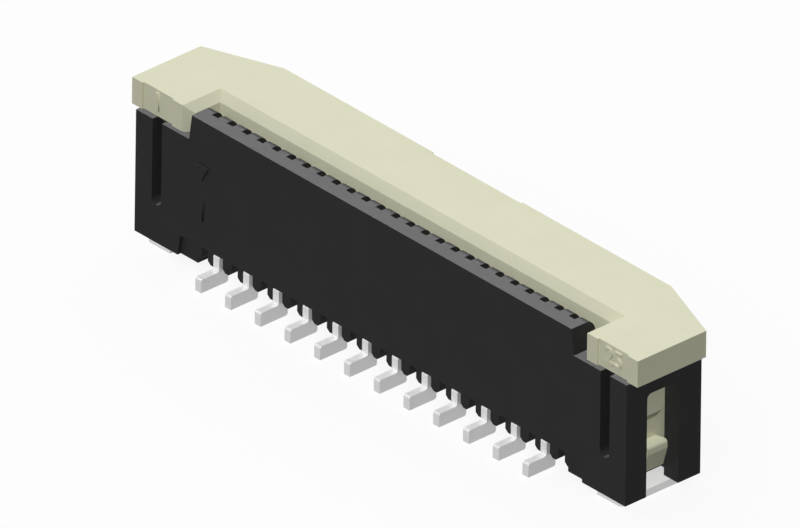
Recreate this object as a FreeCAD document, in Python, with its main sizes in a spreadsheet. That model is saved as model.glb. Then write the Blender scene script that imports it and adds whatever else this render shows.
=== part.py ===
import FreeCAD, Part
import os
import Sketcher

# Upright board connector for a flat flexible cable. A black housing stands on the board and
# holds a row of fork contacts. Their tails leave by turns to the front and to the rear. Two
# fitting nails hold the ends of the housing, and an ivory slider drops in from above: its
# tongue presses the cable against the contacts and its two hooked legs keep it captive.
#
# Every piece is drawn from the same corner: across is zero at the middle of the row, depth is
# zero at the front face of the housing and grows to the rear, and height is zero at the
# underside of the housing. The board lies one nail thickness lower. Sizes are millimetres.

DOCUMENT = FreeCAD.newDocument("FlatCableConnector")
SHEET = DOCUMENT.addObject("Spreadsheet::Sheet", "Sizes")

SIZES = (
    # The row of contacts.
    ("circuits", "25", "contacts in the row"),
    ("pitch", "0.5", "from one contact to the next"),
    ("contact_thickness", "0.2", "sheet that the contacts are stamped from"),
    ("contact_play", "0.01", "slot width beyond the contact's thickness"),
    # Outer form of the housing.
    ("end_length", "2.25", "last contact to the end of the housing"),
    ("housing_depth", "2.3", "front face to rear face"),
    ("housing_height", "3.18", "underside to the ledge under the slider"),
    ("wall_rise", "0.66", "front wall above the ledge"),
    ("wall_depth", "0.7", "front face to the cable slot"),
    ("wall_end", "0.47", "last contact to the foot of the front wall's slanted end"),
    ("wall_slant", "0.09", "how far that end leans inward"),
    ("wall_round", "0.25", "rounding along the rear of the front wall's top"),
    ("foot_height", "0.12", "end feet below the row's underside"),
    ("foot_end", "0.22", "last contact to the inner side of an end foot"),
    ("setback_depth", "0.1", "lower front and rear faces behind the upper ones"),
    ("setback_height", "0.54", "top of the setback and of the contacts' channel"),
    ("setback_end", "0.8", "last contact to the end of the setback"),
    ("setback_slant", "0.07", "how far that end leans inward"),
    # Cable slot and contact slots.
    ("slot_end", "0.6", "last contact to the end of the cable slot"),
    ("slot_floor", "1.05", "floor of the cable slot"),
    ("groove_front", "0.355", "front face to the contact grooves in the front wall"),
    ("rear_groove_depth", "0.45", "contact grooves behind the cable slot"),
    ("rear_groove_top", "2.75", "closed top of those grooves"),
    ("lead_in_width", "0.09", "widening of a contact slot at its mouth, on each side"),
    ("lead_in_height", "0.08", "height of that widening"),
    # Rooms for the slider's legs, and the windows of their hooks.
    ("end_wall", "0.48", "end wall that a hook catches in"),
    ("leg_room_length", "0.35", "leg room along the row"),
    ("leg_room_margin", "0.23", "leg room in front of the window and behind it"),
    ("window_front", "0.64", "front face to the window in the end wall"),
    ("window_width", "0.98", "window from front to rear"),
    ("window_height", "2.69", "top of the window"),
    ("window_round", "0.13", "upper corners of the window"),
    # Relief groove in the front face at each end.
    ("groove_end", "0.56", "end of the housing to the groove"),
    ("groove_width", "0.315", "groove along the row, and across its round lower end"),
    ("groove_depth", "0.3", "groove from the front face"),
    ("groove_foot", "0.98", "lowest point of the groove"),
    # Slider.
    ("seat_gap", "0.01", "ledge to the slider"),
    ("slider_thickness", "0.69", "thickness of the bar and arms"),
    ("slider_overhang", "0.25", "slider beyond each end of the housing"),
    ("slider_bevel", "0.2", "bevels round the cable's entry"),
    ("arm_front", "0.1", "front face of the housing to the front of the arms"),
    ("bar_rear", "2.95", "front face of the housing to the rear of the bar"),
    ("bar_cut_length", "2.0", "cut rear corners, along the row"),
    ("bar_cut_depth", "0.75", "cut rear corners, from front to rear"),
    ("panel_end", "0.35", "end of the slider to the sunk panel in an arm's front"),
    ("panel_length", "1.0", "sunk panel along the row"),
    ("panel_depth", "0.05", "how far the panel is sunk"),
    ("finger_length", "3.0", "sunk panel in the rear of the bar"),
    ("tongue_front", "1.06", "front face of the housing to the tongue"),
    ("tongue_thickness", "0.4", "tongue that presses the cable"),
    ("tongue_play", "0.04", "tongue to the rear of the slot, and to each end"),
    ("tongue_foot", "0.19", "closed tongue above the floor of the slot"),
    ("tongue_wedge", "0.28", "slant on the front of the tongue's tip"),
    ("tongue_wedge_height", "0.5", "height of that slant"),
    ("travel", "1.5", "stroke from closed to open"),
    ("stop_gap", "0.03", "window top above the hook when the slider is open"),
    ("leg_thickness", "0.25", "leg along the row"),
    ("leg_gap", "0.07", "end wall to the leg"),
    ("leg_play", "0.05", "leg and rib to the front and rear of their grooves"),
    ("leg_foot", "0.45", "closed leg above the underside of the housing"),
    ("rib_reach", "0.19", "rib beyond the leg"),
    ("rib_play", "0.02", "rib to the bottom of its groove"),
    ("rib_width", "0.6", "rib and hook, from front to rear"),
    ("rib_length", "1.34", "rib below the bar"),
    ("rib_slope", "0.257", "slanted foot of the rib"),
    ("hook_reach", "0.385", "hook beyond the leg"),
    ("hook_undercut", "0.065", "rise of the hook's top towards its edge"),
    ("hook_round", "0.08", "rounded upper edge of the hook"),
    ("hook_face", "0.22", "height of the hook's outer face"),
    ("hook_taper", "0.133", "how far the hook tapers in at its foot"),
    # Fork contacts.
    ("tail_reach", "0.55", "tail beyond the face of the housing"),
    ("tail_height", "0.35", "height of the soldered tail"),
    ("tail_stem", "0.28", "upright part of the tail, from front to rear"),
    ("bend_round", "0.06", "rounded corners of the stamping"),
    ("spine_foot", "0.24", "underside of the contact's spine"),
    ("spine_inset", "0.32", "face of the housing to the spine's free end"),
    ("prong_play", "0.02", "prongs to the bottoms of their grooves"),
    ("prong_width", "0.22", "front prong"),
    ("prong_drop", "0.35", "front prong below the top of the front wall"),
    ("prong_bevel", "0.1", "bevels at the prongs' tips on the cable's side"),
    ("point_height", "2.3", "height of the contact point"),
    ("point_reach", "0.3", "contact point beyond the prong"),
    ("point_slope", "0.3", "slope above and below the contact point"),
    ("rear_prong_width", "0.38", "rear prong"),
    ("rear_prong_drop", "0.1", "rear prong below the top of its groove"),
    # Fitting nails.
    ("nail_thickness", "0.19", "sheet of the nails, and board to housing"),
    ("nail_end", "0.25", "end of the housing to the nail"),
    ("nail_wall", "0.05", "leg room to the nail's upright tabs"),
    ("nail_inset", "0.12", "front and rear faces to the nail"),
    ("nail_corner", "0.1", "cut outer corners of the nail"),
    ("tab_inset", "0.33", "front and rear faces to the nail's upright tabs"),
    ("tab_width", "0.26", "tab from front to rear"),
    ("tab_height", "1.1", "tab above the underside of the housing"),
    ("tab_play", "0.01", "tab to each side of its slot"),
)

for row, (alias, amount, meaning) in enumerate(SIZES, start=1):
    SHEET.set(f"A{row}", alias)
    SHEET.set(f"B{row}", amount)
    SHEET.set(f"C{row}", meaning)
    SHEET.setAlias(f"B{row}", alias)
DOCUMENT.recompute()

# Places that several pieces share, each worked out once from the sizes above.
HALF_ROW = "(Sizes.circuits - 1) * Sizes.pitch / 2"
HALF_HOUSING = f"({HALF_ROW} + Sizes.end_length)"
HALF_SLIDER = f"({HALF_HOUSING} + Sizes.slider_overhang)"
HALF_SLOT = f"({HALF_ROW} + Sizes.slot_end)"
WALL_TOP = "(Sizes.housing_height + Sizes.wall_rise)"
SLOT_REAR = "(Sizes.tongue_front + Sizes.tongue_thickness + Sizes.tongue_play)"
REAR_GROOVE_BACK = f"({SLOT_REAR} + Sizes.rear_groove_depth)"
ROOM_OUTER = f"({HALF_HOUSING} - Sizes.end_wall)"
ROOM_INNER = f"({ROOM_OUTER} - Sizes.leg_room_length)"
HALF_ROOM = "(Sizes.window_width / 2 + Sizes.leg_room_margin)"
WINDOW_MIDDLE = "(Sizes.window_front + Sizes.window_width / 2)"
LEG_FACE = f"({ROOM_OUTER} - Sizes.leg_gap)"
RIB_FACE = f"({LEG_FACE} + Sizes.rib_reach)"
SLOT_WIDTH = "(Sizes.contact_thickness + Sizes.contact_play)"
NAIL_OUTER = f"({HALF_HOUSING} - Sizes.nail_end)"
NAIL_INNER = f"({ROOM_INNER} - Sizes.nail_wall - Sizes.nail_thickness)"
SEAT = "(Sizes.housing_height + Sizes.seat_gap)"


def measure(expression):
    """Return the number that an expression of the sheet gives now."""
    return float(SHEET.evalExpression(expression))


def origin_feature(body, role):
    """Return the plane or axis of a body that has the given role."""
    return next(item for item in body.Origin.OriginFeatures if item.Role == role)


def start_piece(name, height="0"):
    """Start a piece whose zero is the front face of the housing, at a height above its underside."""
    body = DOCUMENT.addObject("PartDesign::Body", name)
    body.Label = name
    body.setExpression(".Placement.Base.y", "(Sizes.tail_reach - Sizes.bar_rear) / 2")
    body.setExpression(".Placement.Base.z", f"Sizes.nail_thickness + {height}")
    return body


def draw_outline(body, name, plane, corners, level="0"):
    """Draw a closed outline; a corner is its two places and, if it is rounded, a radius."""
    sketch = body.newObject("Sketcher::SketchObject", name)
    sketch.AttachmentSupport = (origin_feature(body, plane), [""])
    sketch.MapMode = "FlatFace"
    sketch.setExpression("AttachmentOffset.Base.z", level)
    places = [FreeCAD.Vector(measure(corner[0]), measure(corner[1]), 0) for corner in corners]
    count = len(places)
    for index in range(count):
        sketch.addGeometry(Part.LineSegment(places[index], places[(index + 1) % count]), False)
    for index in range(count):
        sketch.addConstraint(Sketcher.Constraint("Coincident", index, 2, (index + 1) % count, 1))
    for index, corner in enumerate(corners):
        hold(sketch, Sketcher.Constraint("DistanceX", -1, 1, index, 1, places[index].x), corner[0])
        hold(sketch, Sketcher.Constraint("DistanceY", -1, 1, index, 1, places[index].y), corner[1])
    for index, corner in enumerate(corners):
        if len(corner) == 3:
            round_corner(sketch, index, corner[2])
    return sketch


def draw_circle(body, name, plane, across, up, radius):
    """Draw a circle on a plane of the origin."""
    sketch = body.newObject("Sketcher::SketchObject", name)
    sketch.AttachmentSupport = (origin_feature(body, plane), [""])
    sketch.MapMode = "FlatFace"
    centre = FreeCAD.Vector(measure(across), measure(up), 0)
    sketch.addGeometry(Part.Circle(centre, FreeCAD.Vector(0, 0, 1), measure(radius)), False)
    hold(sketch, Sketcher.Constraint("DistanceX", -1, 1, 0, 3, centre.x), across)
    hold(sketch, Sketcher.Constraint("DistanceY", -1, 1, 0, 3, centre.y), up)
    hold(sketch, Sketcher.Constraint("Radius", 0, measure(radius)), radius)
    return sketch


def hold(sketch, constraint, expression):
    """Add a constraint whose value follows the sheet."""
    number = sketch.addConstraint(constraint)
    sketch.setExpression(f"Constraints[{number}]", expression)


def round_corner(sketch, index, radius):
    """Round the corner at the start of a line, keeping the corner's place as the reference."""
    arc = len(sketch.Geometry)
    sketch.fillet(index, 1, measure(radius), True, True)
    hold(sketch, Sketcher.Constraint("Radius", arc, measure(radius)), radius)


def add_pad(body, name, sketch, length, reverse=False, centred=False):
    """Raise a pad from a sketch: along its normal, against it, or to both sides."""
    pad = body.newObject("PartDesign::Pad", name)
    pad.Profile = sketch
    pad.setExpression("Length", length)
    pad.Reversed = reverse
    pad.SideType = "Symmetric" if centred else "One side"
    return pad


def add_pocket(body, name, sketch, length, along=False, centred=False):
    """Cut a pocket from a sketch: against its normal, along it, or to both sides."""
    pocket = body.newObject("PartDesign::Pocket", name)
    pocket.Profile = sketch
    pocket.setExpression("Length", length)
    pocket.Reversed = along
    pocket.SideType = "Symmetric" if centred else "One side"
    return pocket


def add_mirror(body, name, features):
    """Repeat features of one end at the other end of the row."""
    mirror = body.newObject("PartDesign::Mirrored", name)
    mirror.Originals = features
    mirror.MirrorPlane = (origin_feature(body, "YZ_Plane"), [""])
    body.Tip = mirror
    return mirror


def add_row(body, name, features):
    """Repeat the features of the first contact along the whole row."""
    row = body.newObject("PartDesign::LinearPattern", name)
    row.Originals = features
    row.Direction = (origin_feature(body, "X_Axis"), [""])
    row.setExpression("Length", "(Sizes.circuits - 1) * Sizes.pitch")
    row.setExpression("Occurrences", "Sizes.circuits")
    body.Tip = row
    return row


def rectangle(left, right, low, high):
    """Return the corners of a rectangle."""
    return [(left, low), (right, low), (right, high), (left, high)]


def edges_where(feature, wanted):
    """Return the names of a feature's straight edges whose middle passes a test."""
    names = []
    for number, edge in enumerate(feature.Shape.Edges, start=1):
        if edge.Curve.TypeId == "Part::GeomLine" and wanted(edge):
            names.append(f"Edge{number}")
    return names


def middle(edge):
    """Return the point halfway along a straight edge."""
    return (edge.Vertexes[0].Point + edge.Vertexes[-1].Point) / 2


def near(value, expression):
    """Tell whether a place lies where an expression of the sheet puts it."""
    return abs(value - measure(expression)) < 0.001


# Housing: the block, the front wall above it, and what is moulded into them.
def build_housing():
    """Build the moulded housing."""
    body = start_piece("housing")

    outline = rectangle(f"-{HALF_HOUSING}", HALF_HOUSING, "0", "Sizes.housing_depth")
    sketch = draw_outline(body, "BlockOutline", "XY_Plane", outline)
    add_pad(body, "Block", sketch, "Sizes.housing_height")

    foot = f"({HALF_ROW} + Sizes.wall_end)"
    head = f"({foot} - Sizes.wall_slant)"
    outline = [(f"-{foot}", "Sizes.housing_height"), (foot, "Sizes.housing_height"),
               (head, WALL_TOP), (f"-{head}", WALL_TOP)]
    sketch = draw_outline(body, "FrontWallOutline", "XZ_Plane", outline)
    wall = add_pad(body, "FrontWall", sketch, "Sizes.wall_depth", reverse=True)
    DOCUMENT.recompute()

    rounding = body.newObject("PartDesign::Fillet", "FrontWallRounding")
    rounding.Base = (wall, edges_where(
        wall, lambda edge: near(middle(edge).y, "Sizes.wall_depth") and near(middle(edge).z, WALL_TOP)))
    rounding.setExpression("Radius", "Sizes.wall_round")

    outline = rectangle(f"-{HALF_SLOT}", HALF_SLOT, "Sizes.wall_depth", SLOT_REAR)
    sketch = draw_outline(body, "CableSlotOutline", "XY_Plane", outline, "Sizes.slot_floor")
    add_pocket(body, "CableSlot", sketch, f"{WALL_TOP} - Sizes.slot_floor", along=True)

    cut_housing_underside(body)
    cut_housing_ends(body)
    cut_contact_slots(body)
    return body


def cut_housing_underside(body):
    """Raise the row's underside between the end feet, and set the lower faces back."""
    inner = f"({HALF_ROW} + Sizes.foot_end)"
    outline = rectangle(f"-{inner}", inner, "0", "Sizes.foot_height")
    sketch = draw_outline(body, "UndersideOutline", "XZ_Plane", outline)
    add_pocket(body, "Underside", sketch, "Sizes.housing_depth")

    low = f"({HALF_ROW} + Sizes.setback_end)"
    high = f"({low} - Sizes.setback_slant)"
    outline = [(f"-{low}", "0"), (low, "0"), (high, "Sizes.setback_height"),
               (f"-{high}", "Sizes.setback_height")]
    sketch = draw_outline(body, "FrontSetbackOutline", "XZ_Plane", outline)
    add_pocket(body, "FrontSetback", sketch, "Sizes.setback_depth")
    sketch = draw_outline(body, "RearSetbackOutline", "XZ_Plane", outline, "-Sizes.housing_depth")
    add_pocket(body, "RearSetback", sketch, "Sizes.setback_depth", along=True)


def cut_housing_ends(body):
    """Cut the relief groove, leg room, window and nail slots of both ends."""
    outer = f"({HALF_HOUSING} - Sizes.groove_end)"
    inner = f"({outer} - Sizes.groove_width)"
    radius = "Sizes.groove_width / 2"
    centre = f"Sizes.groove_foot + {radius}"
    sketch = draw_outline(body, "ReliefOutline", "XZ_Plane",
                          rectangle(inner, outer, centre, "Sizes.housing_height"))
    relief = add_pocket(body, "Relief", sketch, "Sizes.groove_depth")
    sketch = draw_circle(body, "ReliefEndOutline", "XZ_Plane", f"{outer} - {radius}", centre, radius)
    relief_end = add_pocket(body, "ReliefEnd", sketch, "Sizes.groove_depth")

    outline = rectangle(ROOM_INNER, ROOM_OUTER,
                        f"{WINDOW_MIDDLE} - {HALF_ROOM}", f"{WINDOW_MIDDLE} + {HALF_ROOM}")
    sketch = draw_outline(body, "LegRoomOutline", "XY_Plane", outline)
    room = add_pocket(body, "LegRoom", sketch, "Sizes.housing_height", along=True)

    half_rib = "(Sizes.rib_width / 2 + Sizes.leg_play)"
    outline = rectangle(ROOM_INNER, f"{RIB_FACE} + Sizes.rib_play",
                        f"{WINDOW_MIDDLE} - {half_rib}", f"{WINDOW_MIDDLE} + {half_rib}")
    sketch = draw_outline(body, "RibGrooveOutline", "XY_Plane", outline)
    rib_groove = add_pocket(body, "RibGroove", sketch, "Sizes.housing_height", along=True)

    rear = "Sizes.window_front + Sizes.window_width"
    outline = [("Sizes.window_front", "0"), (rear, "0"),
               (rear, "Sizes.window_height", "Sizes.window_round"),
               ("Sizes.window_front", "Sizes.window_height", "Sizes.window_round")]
    sketch = draw_outline(body, "WindowOutline", "YZ_Plane", outline, ROOM_OUTER)
    window = add_pocket(body, "Window", sketch, "Sizes.end_wall", along=True)

    side = "Sizes.tab_play"
    left = f"{NAIL_INNER} - {side}"
    right = f"{NAIL_INNER} + Sizes.nail_thickness + {side}"
    slots = []
    for name, low, high in nail_tabs():
        outline = rectangle(left, right, f"{low} - {side}", f"{high} + {side}")
        sketch = draw_outline(body, f"{name}SlotOutline", "XY_Plane", outline)
        slots.append(add_pocket(body, f"{name}Slot", sketch, f"Sizes.tab_height + {side}", along=True))
    add_mirror(body, "OtherEnd", [relief, relief_end, room, rib_groove, window] + slots)


def nail_tabs():
    """Return the name and the front and rear places of a nail's two upright tabs."""
    rear = "Sizes.housing_depth - Sizes.tab_inset"
    return [("FrontTab", "Sizes.tab_inset", "Sizes.tab_inset + Sizes.tab_width"),
            ("RearTab", f"{rear} - Sizes.tab_width", rear)]


def cut_contact_slots(body):
    """Cut the fork-shaped slot of the first contact and its mouth, and repeat them."""
    outline = [("0", "0"), ("0", "Sizes.setback_height"),
               ("Sizes.groove_front", "Sizes.setback_height"), ("Sizes.groove_front", WALL_TOP),
               ("Sizes.wall_depth", WALL_TOP), ("Sizes.wall_depth", "Sizes.setback_height"),
               (SLOT_REAR, "Sizes.setback_height"), (SLOT_REAR, "Sizes.rear_groove_top"),
               (REAR_GROOVE_BACK, "Sizes.rear_groove_top"), (REAR_GROOVE_BACK, "Sizes.setback_height"),
               ("Sizes.housing_depth", "Sizes.setback_height"), ("Sizes.housing_depth", "0")]
    sketch = draw_outline(body, "ContactSlotOutline", "YZ_Plane", outline, f"-{HALF_ROW}")
    slot = add_pocket(body, "ContactSlot", sketch, SLOT_WIDTH, centred=True)

    narrow = f"{SLOT_WIDTH} / 2"
    wide = f"({narrow} + Sizes.lead_in_width)"
    top = "Sizes.foot_height + Sizes.lead_in_height"
    outline = [(f"-{HALF_ROW} - {wide}", "Sizes.foot_height"),
               (f"-{HALF_ROW} + {wide}", "Sizes.foot_height"),
               (f"-{HALF_ROW} + {narrow}", top), (f"-{HALF_ROW} - {narrow}", top)]
    sketch = draw_outline(body, "SlotMouthOutline", "XZ_Plane", outline)
    mouth = add_pocket(body, "SlotMouth", sketch, "Sizes.housing_depth")
    add_row(body, "ContactSlots", [slot, mouth])


# Slider: a bar with two arms, the tongue below the bar and a hooked leg below each arm.
def build_slider():
    """Build the slider in its closed place."""
    body = start_piece("slider", SEAT)

    arm = f"({HALF_SLOT} + Sizes.slider_bevel)"
    cut = f"({HALF_SLIDER} - Sizes.bar_cut_length)"
    cut_front = "Sizes.bar_rear - Sizes.bar_cut_depth"
    bevel = "Sizes.arm_front + Sizes.slider_bevel"
    right = [(HALF_SLIDER, "Sizes.arm_front"), (HALF_SLIDER, cut_front), (cut, "Sizes.bar_rear")]
    left = [(f"-{cut}", "Sizes.bar_rear"), (f"-{HALF_SLIDER}", cut_front),
            (f"-{HALF_SLIDER}", "Sizes.arm_front")]
    entry = [(f"-{arm}", "Sizes.arm_front"), (f"-{HALF_SLOT}", bevel),
             (f"-{HALF_SLOT}", "Sizes.tongue_front"), (HALF_SLOT, "Sizes.tongue_front"),
             (HALF_SLOT, bevel), (arm, "Sizes.arm_front")]
    sketch = draw_outline(body, "BarOutline", "XY_Plane", right + left + entry)
    bar = add_pad(body, "Bar", sketch, "Sizes.slider_thickness")
    DOCUMENT.recompute()

    def borders_entry(edge):
        """Tell whether an upper edge runs along an arm's inner side or the bar's front."""
        place = middle(edge)
        beside = near(abs(place.x), HALF_SLOT) or near(place.y, "Sizes.tongue_front")
        return near(place.z, "Sizes.slider_thickness") and beside

    bevels = body.newObject("PartDesign::Chamfer", "EntryBevels")
    bevels.Base = (bar, edges_where(bar, borders_entry))
    bevels.setExpression("Size", "Sizes.slider_bevel")

    add_tongue(body)
    panels = cut_arm_panel(body)
    legs = add_leg(body)
    add_mirror(body, "OtherArm", [panels] + legs)

    outline = rectangle("-Sizes.finger_length / 2", "Sizes.finger_length / 2",
                        "Sizes.bar_rear - Sizes.panel_depth", "Sizes.bar_rear")
    sketch = draw_outline(body, "RearPanelOutline", "XY_Plane", outline)
    rear = add_pocket(body, "RearPanel", sketch, "Sizes.slider_thickness", along=True)
    body.Tip = rear
    return body


def add_tongue(body):
    """Add the tongue that goes down behind the cable, slanted at its tip."""
    rear = "Sizes.tongue_front + Sizes.tongue_thickness"
    reach = f"({SEAT} - Sizes.slot_floor - Sizes.tongue_foot)"
    outline = [("Sizes.tongue_front", "0"), ("Sizes.tongue_front", f"Sizes.tongue_wedge_height - {reach}"),
               ("Sizes.tongue_front + Sizes.tongue_wedge", f"-{reach}"), (rear, f"-{reach}"), (rear, "0")]
    sketch = draw_outline(body, "TongueOutline", "YZ_Plane", outline)
    add_pad(body, "Tongue", sketch, f"2 * ({HALF_SLOT} - Sizes.tongue_play)", centred=True)


def cut_arm_panel(body):
    """Sink the panel in the front of the right arm."""
    outer = f"({HALF_SLIDER} - Sizes.panel_end)"
    outline = rectangle(f"{outer} - Sizes.panel_length", outer, "Sizes.arm_front",
                        "Sizes.arm_front + Sizes.panel_depth")
    sketch = draw_outline(body, "ArmPanelOutline", "XY_Plane", outline)
    return add_pocket(body, "ArmPanel", sketch, "Sizes.slider_thickness", along=True)


def add_leg(body):
    """Add the right leg: a wide plate, and the narrower rib on it that ends in the hook."""
    inner = f"({LEG_FACE} - Sizes.leg_thickness)"
    foot = f"(Sizes.leg_foot - {SEAT})"
    half_leg = f"({HALF_ROOM} - Sizes.leg_play)"
    outline = rectangle(inner, LEG_FACE, foot, "0")
    sketch = draw_outline(body, "LegOutline", "XZ_Plane", outline, f"-({WINDOW_MIDDLE} - {half_leg})")
    leg = add_pad(body, "Leg", sketch, f"2 * {half_leg}", reverse=True)

    edge = f"({LEG_FACE} + Sizes.hook_reach)"
    top = f"(Sizes.window_height - Sizes.travel - Sizes.stop_gap - {SEAT})"
    outline = [(inner, "0"), (inner, foot), (f"{edge} - Sizes.hook_taper", foot),
               (edge, f"{top} - Sizes.hook_face"), (edge, top, "Sizes.hook_round"),
               (LEG_FACE, f"{top} - Sizes.hook_undercut"),
               (LEG_FACE, "-Sizes.rib_length - Sizes.rib_slope"), (RIB_FACE, "-Sizes.rib_length"),
               (RIB_FACE, "0")]
    front = f"({WINDOW_MIDDLE} - Sizes.rib_width / 2)"
    sketch = draw_outline(body, "HookOutline", "XZ_Plane", outline, f"-{front}")
    hook = add_pad(body, "Hook", sketch, "Sizes.rib_width", reverse=True)
    return [leg, hook]


# Contacts: two prongs and a spine from one sheet, with the tail to the front or the rear.
def build_contact(number):
    """Build one contact of the row; even ones have their tail at the front."""
    name = f"contact_{number:02d}"
    body = start_piece(name)
    body.setExpression(".Placement.Base.x", f"({number} - (Sizes.circuits + 1) / 2) * Sizes.pitch")

    front = "(Sizes.groove_front + Sizes.prong_play)"
    back = f"({front} + Sizes.prong_width)"
    top = f"({WALL_TOP} - Sizes.prong_drop)"
    rear_front = f"({SLOT_REAR} + Sizes.prong_play)"
    rear_back = f"({rear_front} + Sizes.rear_prong_width)"
    rear_top = "(Sizes.rear_groove_top - Sizes.rear_prong_drop)"
    ceiling = "Sizes.setback_height"
    spine_rear = "Sizes.housing_depth - Sizes.spine_inset"
    bend = "Sizes.bend_round"
    outline = [("Sizes.spine_inset", "Sizes.spine_foot"), (spine_rear, "Sizes.spine_foot"),
               (spine_rear, ceiling), (rear_back, ceiling), (rear_back, rear_top),
               (f"{rear_front} + Sizes.prong_bevel", rear_top),
               (rear_front, f"{rear_top} - Sizes.prong_bevel"), (rear_front, ceiling),
               (back, ceiling), (back, "Sizes.point_height - Sizes.point_slope"),
               (f"{back} + Sizes.point_reach", "Sizes.point_height", bend),
               (back, "Sizes.point_height + Sizes.point_slope"), (back, f"{top} - Sizes.prong_bevel"),
               (f"{back} - Sizes.prong_bevel", top), (front, top), (front, ceiling),
               ("Sizes.spine_inset", ceiling)]
    sketch = draw_outline(body, "ForkOutline", "YZ_Plane", outline)
    add_pad(body, "Fork", sketch, "Sizes.contact_thickness", centred=True)
    add_tail(body, number % 2 == 0)
    return body


def add_tail(body, to_front):
    """Add the tail: a stem flush with the face of the housing and a foot on the board."""
    face = "0" if to_front else "Sizes.housing_depth"
    outward = "-" if to_front else "+"
    inward = "+" if to_front else "-"
    tip = f"{face} {outward} Sizes.tail_reach"
    heel = f"{face} {inward} Sizes.tail_stem"
    root = f"{face} {inward} Sizes.spine_inset"
    board = "-Sizes.nail_thickness"
    foot_top = "Sizes.tail_height - Sizes.nail_thickness"
    bend = "Sizes.bend_round"
    outline = [(tip, board), (heel, board, bend), (heel, "Sizes.spine_foot"), (root, "Sizes.spine_foot"),
               (root, "Sizes.setback_height"), (face, "Sizes.setback_height", bend),
               (face, foot_top, bend), (tip, foot_top, bend)]
    sketch = draw_outline(body, "TailOutline", "YZ_Plane", outline)
    add_pad(body, "Tail", sketch, "Sizes.contact_thickness", centred=True)


# Fitting nails: a plate on the board with two tabs bent up into the housing.
def build_nail(name, side):
    """Build the nail of one end; side is the sign of its place along the row."""
    body = start_piece(name)
    near_face = "Sizes.nail_inset"
    far_face = "Sizes.housing_depth - Sizes.nail_inset"
    outer = f"{side} {NAIL_OUTER}"
    inner = f"{side} {NAIL_INNER}"
    short = f"{side} ({NAIL_OUTER} - Sizes.nail_corner)"
    outline = [(inner, near_face), (short, near_face), (outer, f"{near_face} + Sizes.nail_corner"),
               (outer, f"{far_face} - Sizes.nail_corner"), (short, far_face), (inner, far_face)]
    sketch = draw_outline(body, "PlateOutline", "XY_Plane", outline)
    add_pad(body, "Plate", sketch, "Sizes.nail_thickness", reverse=True)

    bent = f"{side} ({NAIL_INNER} + Sizes.nail_thickness)"
    for tab, low, high in nail_tabs():
        sketch = draw_outline(body, f"{tab}Outline", "XY_Plane", rectangle(inner, bent, low, high))
        add_pad(body, tab, sketch, "Sizes.tab_height")
    return body


def check_document(pieces):
    """Stop where a feature has failed or a piece is not one sound solid."""
    for item in DOCUMENT.Objects:
        if "Invalid" in item.State or "Error" in item.State:
            raise ValueError(f"{item.Name} has failed: {item.State}")
    for piece in pieces:
        shape = piece.Shape
        if shape.isNull() or not shape.isValid() or len(shape.Solids) != 1:
            raise ValueError(f"{piece.Label} is not one sound solid")


def main():
    """Build every piece, check it and write it."""
    pieces = [build_housing(), build_slider()]
    pieces += [build_contact(number) for number in range(1, round(measure("Sizes.circuits")) + 1)]
    pieces += [build_nail("fitting_nail_left", "-"), build_nail("fitting_nail_right", "+")]
    DOCUMENT.recompute()
    check_document(pieces)

    os.makedirs("parts", exist_ok=True)
    for piece in pieces:
        piece.Shape.exportStep(f"parts/{piece.Label}.step")
        print(piece.Label, round(piece.Shape.Volume, 4))


main()
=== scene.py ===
"""Looks of an upright connector for a flat flexible cable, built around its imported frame.

The frame holds every moulded and stamped piece at its real place. This script gives them their
finishes, adds the low raised marks of the mouldings, and sets up a plain studio whose camera looks
at the connector as the photograph does. Lengths are metres; a name that ends in _mm is in
millimetres.
"""

import logging
import math
from dataclasses import dataclass
from enum import Enum

import bmesh
import bpy
from mathutils import Matrix, Vector


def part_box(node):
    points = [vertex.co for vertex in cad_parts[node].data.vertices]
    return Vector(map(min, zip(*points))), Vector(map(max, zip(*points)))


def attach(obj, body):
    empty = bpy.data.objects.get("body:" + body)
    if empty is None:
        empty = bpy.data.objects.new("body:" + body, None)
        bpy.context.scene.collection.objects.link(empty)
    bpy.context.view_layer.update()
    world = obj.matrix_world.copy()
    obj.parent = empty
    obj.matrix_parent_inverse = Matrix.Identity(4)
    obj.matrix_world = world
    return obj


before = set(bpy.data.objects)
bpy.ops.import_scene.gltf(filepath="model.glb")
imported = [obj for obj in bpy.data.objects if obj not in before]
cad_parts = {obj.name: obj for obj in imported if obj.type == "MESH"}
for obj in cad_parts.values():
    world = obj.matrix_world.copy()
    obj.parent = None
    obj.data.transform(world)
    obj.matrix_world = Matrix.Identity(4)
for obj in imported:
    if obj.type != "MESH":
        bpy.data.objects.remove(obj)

LOG = logging.getLogger("flat_cable_connector")
MM = 0.001
WELD_MM = 1e-4
# A noise pattern seldom leaves this range.
NOISE_LOW = 0.3
NOISE_HIGH = 0.7
Colour = tuple[float, float, float]
Direction = tuple[float, float, float]
Stretch = tuple[float, float, float]
Socket = bpy.types.NodeSocket


class Body(Enum):
    """The two bodies of the frame that the marks ride on."""

    BASE = "base"
    SLIDER = "slider"


class Slot(Enum):
    """The record's material slots of the mouldings that carry the marks."""

    HOUSING = "housing_plastic"
    SLIDER = "slider_plastic"


def grey(level: float) -> tuple[float, float, float, float]:
    """Return a neutral colour for a shader's socket, from 0 for black to 1 for white."""
    return level, level, level, 1.0


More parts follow.
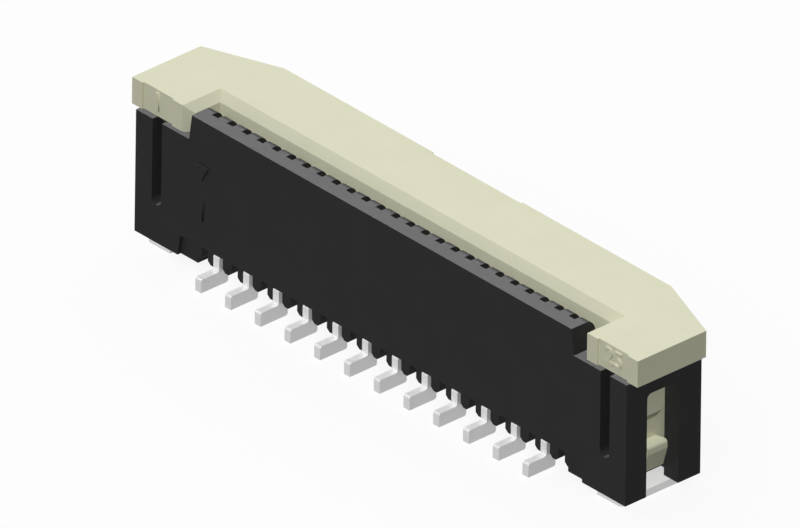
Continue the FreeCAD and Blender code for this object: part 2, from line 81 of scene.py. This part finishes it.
class Graph:
    """The shader nodes of one material or world, with short calls to add and join them."""

    def __init__(self, owner: bpy.types.Material | bpy.types.World) -> None:
        """Empty the node tree of a material or world and keep it.

        Args:
            owner: The material or world whose nodes are made.
        """
        owner.use_nodes = True
        self.tree = owner.node_tree
        self.tree.nodes.clear()

    def add(self, kind: str, values: dict[str | int, object] | None = None,
            **settings: str) -> bpy.types.Node:
        """Add a node.

        Args:
            kind: The node's type without its leading ShaderNode.
            values: What its input sockets are set to or joined from, by socket name or number.
            **settings: The node's own properties.

        Returns:
            The new node.
        """
        node = self.tree.nodes.new("ShaderNode" + kind)
        for name, setting in settings.items():
            setattr(node, name, setting)
        for name, value in (values or {}).items():
            if isinstance(value, Socket):
                self.tree.links.new(value, node.inputs[name])
            else:
                node.inputs[name].default_value = value
        return node

    def place_in_mm(self) -> Socket:
        """Return the place on the piece, in millimetres of the frame."""
        place = self.add("TexCoord").outputs["Object"]
        return self.add("VectorMath", {0: place, "Scale": 1 / MM}, operation="SCALE").outputs[0]

    def noise(self, place: Socket, size_mm: float, detail: float = 2.0) -> Socket:
        """Return a cloudy pattern with clouds of about size_mm and detail finer layers."""
        node = self.add("TexNoise", {"Vector": place, "Scale": 1 / size_mm, "Detail": detail})
        return node.outputs["Fac"]

    def spread(self, pattern: Socket, low: float, high: float) -> Socket:
        """Return a cloudy pattern stretched to lie between two values."""
        node = self.add("MapRange", {"Value": pattern, "From Min": NOISE_LOW, "From Max": NOISE_HIGH,
                                     "To Min": low, "To Max": high})
        return node.outputs["Result"]

    def blend(self, share: Socket, first: Colour, second: Colour) -> Socket:
        """Return a colour between two colours, by a share from 0 to 1."""
        node = self.add("Mix", {0: share, 6: (*first, 1), 7: (*second, 1)}, data_type="RGBA")
        return node.outputs[2]

    def relief(self, pattern: Socket, height_mm: float, under: Socket | None = None) -> Socket:
        """Turn a pattern into a fine relief.

        Args:
            pattern: The relief, where 1 is its full height.
            height_mm: The full height.
            under: The surface's direction after a coarser relief, if this one lies on it.

        Returns:
            The socket with the surface's direction.
        """
        values = {"Height": pattern, "Distance": height_mm * MM, "Strength": 1.0}
        if under is not None:
            values["Normal"] = under
        return self.add("Bump", values).outputs["Normal"]


@dataclass(frozen=True)
class MouldedPlastic:
    """A heat-resistant nylon as it leaves its mould: matte, faintly clouded, with eroded-steel grain."""

    name: str
    colour: Colour
    cloud_colour: Colour
    specular: float
    roughness: float = 0.42
    roughness_spread: float = 0.06
    cloud_mm: float = 0.9
    cloud_detail: float = 4.0
    grain_mm: float = 0.07
    grain_height_mm: float = 0.0006
    flow_mm: float = 0.6
    flow_height_mm: float = 0.0012

    def build(self) -> bpy.types.Material:
        """Make the material of this plastic.

        Returns:
            The material, ready for a piece.
        """
        material = bpy.data.materials.new(self.name)
        graph = Graph(material)
        place = graph.place_in_mm()
        clouds = graph.noise(place, self.cloud_mm, self.cloud_detail)
        grain = graph.noise(place, self.grain_mm)
        flow = graph.noise(place, self.flow_mm)
        low = self.roughness - self.roughness_spread
        high = self.roughness + self.roughness_spread
        shader = graph.add("BsdfPrincipled", {
            "Base Color": graph.blend(graph.spread(clouds, 0.0, 1.0), self.colour, self.cloud_colour),
            "Roughness": graph.spread(grain, low, high),
            "Specular IOR Level": self.specular,
            "Normal": graph.relief(grain, self.grain_height_mm, graph.relief(flow, self.flow_height_mm)),
        })
        graph.add("OutputMaterial", {"Surface": shader.outputs["BSDF"]})
        return material


@dataclass(frozen=True)
class TinPlate:
    """Matte tin over stamped copper alloy: a soft metallic grey with a fine grain along the sheet."""

    name: str
    colour: Colour
    shade: Colour
    metallic: float = 0.35
    specular: float = 0.2
    roughness: float = 0.42
    roughness_spread: float = 0.08
    crystal_mm: float = 0.05
    crystal_detail: float = 3.0
    crystal_height_mm: float = 0.0007
    shear_mm: float = 0.03
    shear_squeeze: Stretch = (0.15, 1.0, 1.0)
    shear_height_mm: float = 0.0005

    def build(self) -> bpy.types.Material:
        """Make the material of this plating.

        Returns:
            The material, ready for a piece.
        """
        material = bpy.data.materials.new(self.name)
        graph = Graph(material)
        place = graph.place_in_mm()
        crystals = graph.noise(place, self.crystal_mm, self.crystal_detail)
        squeezed = graph.add("VectorMath", {0: place, 1: self.shear_squeeze}, operation="MULTIPLY")
        shear = graph.noise(squeezed.outputs[0], self.shear_mm)
        low = self.roughness - self.roughness_spread
        high = self.roughness + self.roughness_spread
        streaks = graph.relief(shear, self.shear_height_mm)
        shader = graph.add("BsdfPrincipled", {
            "Base Color": graph.blend(graph.spread(crystals, 0.0, 1.0), self.colour, self.shade),
            "Metallic": self.metallic,
            "Specular IOR Level": self.specular,
            "Roughness": graph.spread(shear, low, high),
            "Normal": graph.relief(crystals, self.crystal_height_mm, streaks),
        })
        graph.add("OutputMaterial", {"Surface": shader.outputs["BSDF"]})
        return material


@dataclass(frozen=True)
class StudioFloor:
    """The plain pale floor: white to the eye, with the connector's soft shadow on it."""

    name: str = "studio_floor"
    seen: float = 0.965
    shadow_share: float = 0.3
    bounce: float = 0.05
    mirrored: float = 0.75

    def build(self) -> bpy.types.Material:
        """Make the floor's material.

        Returns:
            The material, which shows a plain level to the camera and in reflections.
        """
        material = bpy.data.materials.new(self.name)
        graph = Graph(material)
        path = graph.add("LightPath")
        white = graph.add("Emission", {"Color": grey(self.seen), "Strength": 1.0})
        matte = graph.add("BsdfDiffuse", {"Color": grey(self.seen)})
        eye = graph.add("MixShader", {0: self.shadow_share, 1: white.outputs[0], 2: matte.outputs[0]})
        bounce = graph.add("BsdfDiffuse", {"Color": grey(self.bounce)})
        mirrored = graph.add("Emission", {"Color": grey(1.0), "Strength": self.mirrored})
        unseen = graph.add("MixShader", {0: path.outputs["Is Glossy Ray"], 1: bounce.outputs[0],
                                         2: mirrored.outputs[0]})
        shader = graph.add("MixShader", {0: path.outputs["Is Camera Ray"], 1: unseen.outputs[0],
                                         2: eye.outputs[0]})
        graph.add("OutputMaterial", {"Surface": shader.outputs[0]})
        return material


@dataclass(frozen=True)
class Lamp:
    """A far, broad lamp that also reaches into the connector's narrow rooms."""

    name: str
    towards: Direction
    level: float
    width_degrees: float = 40.0
    lights_only: tuple[str, ...] = ()

    def build(self) -> None:
        """Hang the lamp; it lights a white face that looks at it to its level."""
        data = bpy.data.lights.new(self.name, "SUN")
        data.energy = self.level * math.pi
        data.angle = math.radians(self.width_degrees)
        data.use_shadow = False
        lamp = bpy.data.objects.new(self.name, data)
        lamp.rotation_euler = Vector(self.towards).to_track_quat("Z", "Y").to_euler()
        bpy.context.scene.collection.objects.link(lamp)
        if self.lights_only:
            lit = bpy.data.collections.new(self.name + "_lit")
            for name in self.lights_only:
                lit.objects.link(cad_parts[name])
            lamp.light_linking.receiver_collection = lit


@dataclass(frozen=True)
class Sky:
    """The light round the studio: a soft band above the horizon, dimmer overhead and to the right rear."""

    name: str = "studio_light"
    horizon: float = 0.06
    band: float = 0.41
    overhead: float = 0.12
    band_steps: tuple[float, float, float, float] = (0.2, 0.36, 0.7, 0.86)
    lean: Direction = (-0.45, -0.45, 0.0)
    seen: float = 1.0

    def build(self) -> bpy.types.World:
        """Make the world that lights the scene and shows white behind it.

        Returns:
            The world.
        """
        world = bpy.data.worlds.new(self.name)
        graph = Graph(world)
        direction = graph.add("TexCoord").outputs["Generated"]
        split = graph.add("SeparateXYZ", {0: direction})
        ramp = graph.add("ValToRGB", {0: split.outputs["Z"]})
        levels = (self.horizon, self.band, self.band, self.overhead)
        stops = ramp.color_ramp.elements
        while len(stops) < len(levels):
            stops.new(self.band_steps[1])
        for stop, step, level in zip(stops, self.band_steps, levels):
            stop.position = step
            stop.color = grey(level / self.band)
        lean = graph.add("VectorMath", {0: direction, 1: self.lean}, operation="DOT_PRODUCT")
        factor = graph.add("Math", {0: lean.outputs["Value"], 1: 1.0}, operation="ADD")
        strength = graph.add("Math", {0: factor.outputs[0], 1: self.band}, operation="MULTIPLY")
        light = graph.add("Background", {"Color": ramp.outputs["Color"], "Strength": strength.outputs[0]})
        white = graph.add("Background", {"Color": grey(1.0), "Strength": self.seen})
        path = graph.add("LightPath")
        looked_at = graph.add("Math", {0: path.outputs["Is Camera Ray"], 1: path.outputs["Is Glossy Ray"]},
                              operation="MAXIMUM")
        shader = graph.add("MixShader", {0: looked_at.outputs[0], 1: light.outputs[0], 2: white.outputs[0]})
        graph.add("OutputWorld", {"Surface": shader.outputs[0]})
        return world


@dataclass(frozen=True)
class PhotoCamera:
    """The photograph's parallel camera, placed by the pixel of the housing's front left foot."""

    image: tuple[int, int] = (800, 528)
    pixels_per_mm: float = 44.15
    azimuth: float = 47.26
    elevation: float = 30.29
    roll: float = 0.76
    corner_pixel: tuple[float, float] = (134.4, 230.4)
    distance_mm: float = 60.0
    nearest_mm: float = 1.0
    farthest_mm: float = 1000.0

    def axes(self) -> tuple[Vector, Vector, Vector]:
        """Work out how the camera is turned.

        Returns:
            Its directions to the right, up and backward.
        """
        turn, rise, roll = (math.radians(angle) for angle in (self.azimuth, self.elevation, self.roll))
        flat_right = Vector((math.cos(turn), math.sin(turn), 0))
        flat_up = Vector((-math.sin(turn) * math.sin(rise), math.cos(turn) * math.sin(rise), math.cos(rise)))
        right = flat_right * math.cos(roll) + flat_up * math.sin(roll)
        up = flat_up * math.cos(roll) - flat_right * math.sin(roll)
        return right, up, right.cross(up)

    def build(self) -> None:
        """Add the camera and look through it."""
        right, up, backward = self.axes()
        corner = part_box("housing")[0]
        width, height = self.image
        across = (width / 2 - self.corner_pixel[0]) / self.pixels_per_mm * MM
        above = (self.corner_pixel[1] - height / 2) / self.pixels_per_mm * MM
        data = bpy.data.cameras.new("camera")
        data.type = "ORTHO"
        data.ortho_scale = width / self.pixels_per_mm * MM
        data.clip_start = self.nearest_mm * MM
        data.clip_end = self.farthest_mm * MM
        camera = bpy.data.objects.new("camera", data)
        place = corner + right * across + up * above + backward * self.distance_mm * MM
        camera.matrix_world = Matrix.Translation(place) @ Matrix((right, up, backward)).transposed().to_4x4()
        bpy.context.scene.collection.objects.link(camera)
        bpy.context.scene.camera = camera


@dataclass
class Studio:
    """Floor, lamps, sky and camera.

    The sheen lamp hangs where the housing's level faces mirror it towards the photograph's camera.
    """

    floor_mm: float = 400.0
    floor: StudioFloor = StudioFloor()
    sky: Sky = Sky()
    camera: PhotoCamera = PhotoCamera()
    lamps: tuple[Lamp, ...] = (
        Lamp("front_lamp", (0.0, -1.0, 0.0), 0.365),
        Lamp("right_lamp", (1.0, 0.0, 1.8), 0.48),
        Lamp("left_lamp", (-1.0, 0.0, 0.5), 0.26),
        Lamp("rear_lamp", (-0.2, 0.8, 0.6), 0.40),
        Lamp("sheen_lamp", (-0.634, 0.586, 0.504), 0.338, width_degrees=8.0, lights_only=("housing",)),
    )

    def build(self) -> None:
        """Add the light, the floor and the camera."""
        bpy.context.scene.view_settings.view_transform = "Standard"
        bpy.context.scene.world = self.sky.build()
        for lamp in self.lamps:
            lamp.build()
        self.add_floor()
        self.camera.build()
        LOG.info("the studio has %d lamps, a sky, a floor and a camera", len(self.lamps))

    def add_floor(self) -> None:
        """Lay the floor at the height of the board, under the soldered tails."""
        half = self.floor_mm * MM / 2
        corners = [(-half, -half, 0), (half, -half, 0), (half, half, 0), (-half, half, 0)]
        mesh = bpy.data.meshes.new("floor")
        mesh.from_pydata(corners, [], [(0, 1, 2, 3)])
        mesh.materials.append(self.floor.build())
        floor = bpy.data.objects.new("floor", mesh)
        bpy.context.scene.collection.objects.link(floor)


def dress(names: list[str], material: bpy.types.Material) -> None:
    """Give nodes of the frame a material.

    Args:
        names: The nodes.
        material: Their finish.
    """
    for name in names:
        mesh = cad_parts[name].data
        mesh.materials.clear()
        mesh.materials.append(material)
        LOG.info("%s is dressed with %s", name, material.name)


def nodes_of(kind: str) -> list[str]:
    """Return the names of the frame's nodes of one kind, in order."""
    return sorted(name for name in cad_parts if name.startswith(kind))


@dataclass(frozen=True)
class RaisedMark:
    """A low raised figure on the front of a moulding, from which the kinds of figure are made."""

    name: str
    height_mm: float = 0.5
    proud_mm: float = 0.045
    sunk_mm: float = 0.02
    edge_mm: float = 0.01

    def half_thickness(self) -> float:
        """Return half the figure's thickness, with the part sunk into the moulding."""
        return (self.proud_mm + self.sunk_mm) / 2 * MM

    def figure(self) -> bpy.types.Mesh:
        """Return the figure lying flat, with its middle at the origin."""
        raise NotImplementedError

    def build(self, place: Vector, body: Body, slot: Slot, material: bpy.types.Material) -> None:
        """Set the figure on the moulding.

        Args:
            place: The middle of the figure, on the face that carries it.
            body: The body that it rides on.
            slot: The record's slot of its finish; it is not used.
            material: The finish of the moulding.
        """
        mesh = self.figure()
        middle = place + Vector((0, (self.sunk_mm - self.proud_mm) / 2 * MM, 0))
        mesh.transform(Matrix.Translation(middle) @ Matrix.Rotation(math.pi / 2, 4, "X"))
        mesh.name = self.name
        mesh.materials.clear()
        mesh.materials.append(material)
        piece = bpy.data.objects.new(self.name, mesh)
        bpy.context.scene.collection.objects.link(piece)
        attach(piece, body.value)
        LOG.info("%s stands on %s", self.name, body.value)


@dataclass(frozen=True)
class RaisedNumber(RaisedMark):
    """The number of a contact."""

    text: str = "1"
    capital_share: float = 0.73
    curve_steps: int = 4
    edge_steps: int = 1

    def figure(self) -> bpy.types.Mesh:
        """Make the digits as closed meshes with softened edges.

        Returns:
            The digits, lying flat with their middle at the origin.
        """
        curve = bpy.data.curves.new(self.name, "FONT")
        curve.body = self.text
        curve.align_x = "CENTER"
        curve.align_y = "CENTER"
        curve.size = self.height_mm * MM / self.capital_share
        curve.extrude = self.half_thickness() - self.edge_mm * MM
        curve.bevel_depth = self.edge_mm * MM
        curve.bevel_resolution = self.edge_steps
        curve.resolution_u = self.curve_steps
        model = bpy.data.objects.new(self.name + "_font", curve)
        mesh = bpy.data.meshes.new_from_object(model)
        bpy.data.objects.remove(model)
        bpy.data.curves.remove(curve)
        shape = bmesh.new()
        shape.from_mesh(mesh)
        bmesh.ops.remove_doubles(shape, verts=shape.verts, dist=WELD_MM * MM)
        bmesh.ops.recalc_face_normals(shape, faces=shape.faces)
        shape.to_mesh(mesh)
        shape.free()
        return mesh


@dataclass(frozen=True)
class RaisedTriangle(RaisedMark):
    """The triangle that points to the first contact."""

    width_mm: float = 0.42
    edge_steps: int = 2
    edge_profile: float = 0.5

    def figure(self) -> bpy.types.Mesh:
        """Make the triangle with softened edges.

        Returns:
            The triangle, lying flat with its point down and its middle at the origin.
        """
        half_width = self.width_mm / 2 * MM
        half_height = self.height_mm / 2 * MM
        low, high = -self.half_thickness(), self.half_thickness()
        corners = [(-half_width, half_height), (0.0, -half_height), (half_width, half_height)]
        shape = bmesh.new()
        foot = shape.faces.new([shape.verts.new((x, y, low)) for x, y in corners])
        raised = bmesh.ops.extrude_face_region(shape, geom=[foot])["geom"]
        lifted = [vertex for vertex in raised if isinstance(vertex, bmesh.types.BMVert)]
        bmesh.ops.translate(shape, verts=lifted, vec=(0, 0, high - low))
        bmesh.ops.bevel(shape, geom=shape.edges[:], offset=self.edge_mm * MM, segments=self.edge_steps,
                        affect="EDGES", profile=self.edge_profile)
        bmesh.ops.recalc_face_normals(shape, faces=shape.faces)
        mesh = bpy.data.meshes.new(self.name)
        shape.to_mesh(mesh)
        shape.free()
        return mesh


@dataclass
class Housing:
    """The black moulded housing with the marks of the first contact on its front."""

    finish: MouldedPlastic = MouldedPlastic(
        "black_nylon", colour=(0.031, 0.031, 0.031), cloud_colour=(0.028, 0.028, 0.0285), specular=0.035,
        roughness=0.37, roughness_spread=0.012, flow_height_mm=0.0005)
    triangle: RaisedTriangle = RaisedTriangle("first_contact_triangle", height_mm=0.38)
    number: RaisedNumber = RaisedNumber("first_contact_number")
    triangle_up_mm: float = 2.68
    number_up_mm: float = 1.65

    def build(self) -> None:
        """Dress the housing, and set its marks above each other in line with the first contact."""
        material = self.finish.build()
        dress(["housing"], material)
        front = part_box("housing")[0].y
        left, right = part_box(nodes_of("contact_")[0])
        across = (left.x + right.x) / 2
        for mark, up_mm in ((self.triangle, self.triangle_up_mm), (self.number, self.number_up_mm)):
            mark.build(Vector((across, front, up_mm * MM)), Body.BASE, Slot.HOUSING, material)


@dataclass
class Slider:
    """The ivory slider with the numbers of the first and the last contact in its arms' panels."""

    finish: MouldedPlastic = MouldedPlastic(
        "ivory_nylon", colour=(0.665, 0.665, 0.5), cloud_colour=(0.645, 0.645, 0.485), specular=0.05)
    first_number: RaisedNumber = RaisedNumber("number_first")
    last_number: RaisedNumber = RaisedNumber("number_last", height_mm=0.44, text="25")
    first_inset_mm: float = 0.82
    first_drop_mm: float = 0.34
    last_inset_mm: float = 0.84
    last_drop_mm: float = 0.32
    panel_depth_mm: float = 0.05

    def build(self) -> None:
        """Dress the slider, and set the numbers by their distance from its ends and its top."""
        material = self.finish.build()
        dress(["slider"], material)
        low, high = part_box("slider")
        panel = low.y + self.panel_depth_mm * MM
        first = Vector((low.x + self.first_inset_mm * MM, panel, high.z - self.first_drop_mm * MM))
        last = Vector((high.x - self.last_inset_mm * MM, panel, high.z - self.last_drop_mm * MM))
        self.first_number.build(first, Body.SLIDER, Slot.SLIDER, material)
        self.last_number.build(last, Body.SLIDER, Slot.SLIDER, material)


@dataclass
class Metalwork:
    """The row of fork contacts and the two fitting nails."""

    contact_finish: TinPlate = TinPlate("contact_tin", colour=(0.86, 0.86, 0.86), shade=(0.82, 0.82, 0.825))
    nail_finish: TinPlate = TinPlate("nail_tin", colour=(0.95, 0.95, 0.95), shade=(0.92, 0.92, 0.925))

    def build(self) -> None:
        """Dress the contacts and the nails."""
        dress(nodes_of("contact_"), self.contact_finish.build())
        dress(nodes_of("fitting_nail_"), self.nail_finish.build())


def main() -> None:
    """Dress the connector and set up the studio."""
    logging.basicConfig(level=logging.INFO, format="%(message)s")
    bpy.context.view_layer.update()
    Housing().build()
    Slider().build()
    Metalwork().build()
    Studio().build()


if __name__ == "__main__":
    main()
